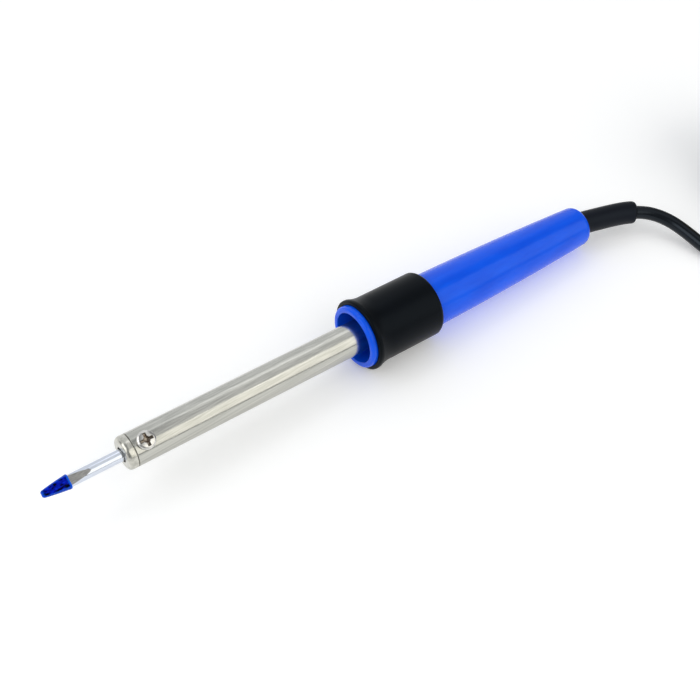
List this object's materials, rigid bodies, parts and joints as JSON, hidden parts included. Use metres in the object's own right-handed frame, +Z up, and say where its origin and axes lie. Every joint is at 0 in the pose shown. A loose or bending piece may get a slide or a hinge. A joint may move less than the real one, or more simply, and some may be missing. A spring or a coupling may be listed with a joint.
{
  "type": "soldering iron",
  "caption": "Corded pencil soldering iron for glass work: slide-in chisel bit, nickel barrel, blue handle with a rubber finger grip, boot, folded flex and mains plug.",
  "frame": {"origin": "centre of the iron's footprint on the table it lies on, without the flex", "axes": "+X along the iron from the bit to the flex, +Z up from the table, +Y to the left of someone looking along +X"},
  "size_m": [0.4272, 0.0777, 0.0575],
  "materials": {
    "chrome": "bright plated",
    "tip_wax": "dipped translucent blue coat",
    "nickel": "brushed along the barrel",
    "zinc_steel": "zinc plated",
    "resistance_wire": "drawn wire",
    "ceramic": "fired ceramic",
    "mica": "mica sheet",
    "glass_sleeve": "woven glass sleeve",
    "blue_plastic": "moulded, satin gloss",
    "grip_rubber": "moulded, matt",
    "boot_rubber": "moulded, matt",
    "flex_sheath": "extruded, glossy",
    "plug_plastic": "moulded, fine satin",
    "brass": "machined",
    "earth_green": "green wire with a yellow stripe",
    "live_brown": "brown wire",
    "neutral_blue": "blue wire",
    "carrier_red": "moulded red"
  },
  "bodies": {
    "iron": {"nose_bush": "nickel", "barrel_tube": "nickel", "heater_former": "ceramic", "heater_winding": "resistance_wire", "mica_wrap": "mica", "heater_end_disc": "ceramic", "handle_shell": "blue_plastic", "grip_sleeve": "grip_rubber", "barrel_flange": "zinc_steel", "flange_screw_1": "zinc_steel", "flange_screw_2": "zinc_steel", "flange_screw_3": "zinc_steel", "terminal_block": "ceramic", "terminal_screw_live": "brass", "terminal_screw_earth": "brass", "terminal_screw_neutral": "brass", "lead_sleeve_live": "glass_sleeve", "lead_sleeve_neutral": "glass_sleeve", "earth_lug": "zinc_steel", "earth_link": "earth_green", "core_live": "live_brown", "core_earth": "earth_green", "core_neutral": "neutral_blue", "strain_relief_boot": "boot_rubber", "flex_tail": "flex_sheath", "flex_clip": "zinc_steel", "flex_run": "flex_sheath", "flex_hank": "flex_sheath", "hank_tie": "grip_rubber", "flex_to_plug": "flex_sheath", "plug_body": "plug_plastic", "plug_pin_live": "brass", "plug_pin_neutral": "brass", "plug_pin_earth": "brass"},
    "bit": {"bit_shank": "chrome", "tip_coat": "tip_wax"},
    "bit_screw": {"bit_screw": "zinc_steel"},
    "fuse_drawer": {"fuse_carrier": "carrier_red", "fuse": "ceramic"}
  },
  "joints": [
    {"name": "bit_slide", "type": "slide", "parent": "iron", "child": "bit", "axis": [-0.9992, 0, 0.0396], "range_m": [0, 0.041]},
    {"name": "bit_screw_turn", "type": "hinge", "parent": "iron", "child": "bit_screw", "pos_m": [-0.10076, 0, 0.01821], "axis": [0.0335, -0.5344, 0.8446], "range_deg": [0, 720]},
    {"name": "fuse_carrier_slide", "type": "slide", "parent": "iron", "child": "fuse_drawer", "axis": [0, 0, 1], "range_m": [0, 0.012]}
  ]
}
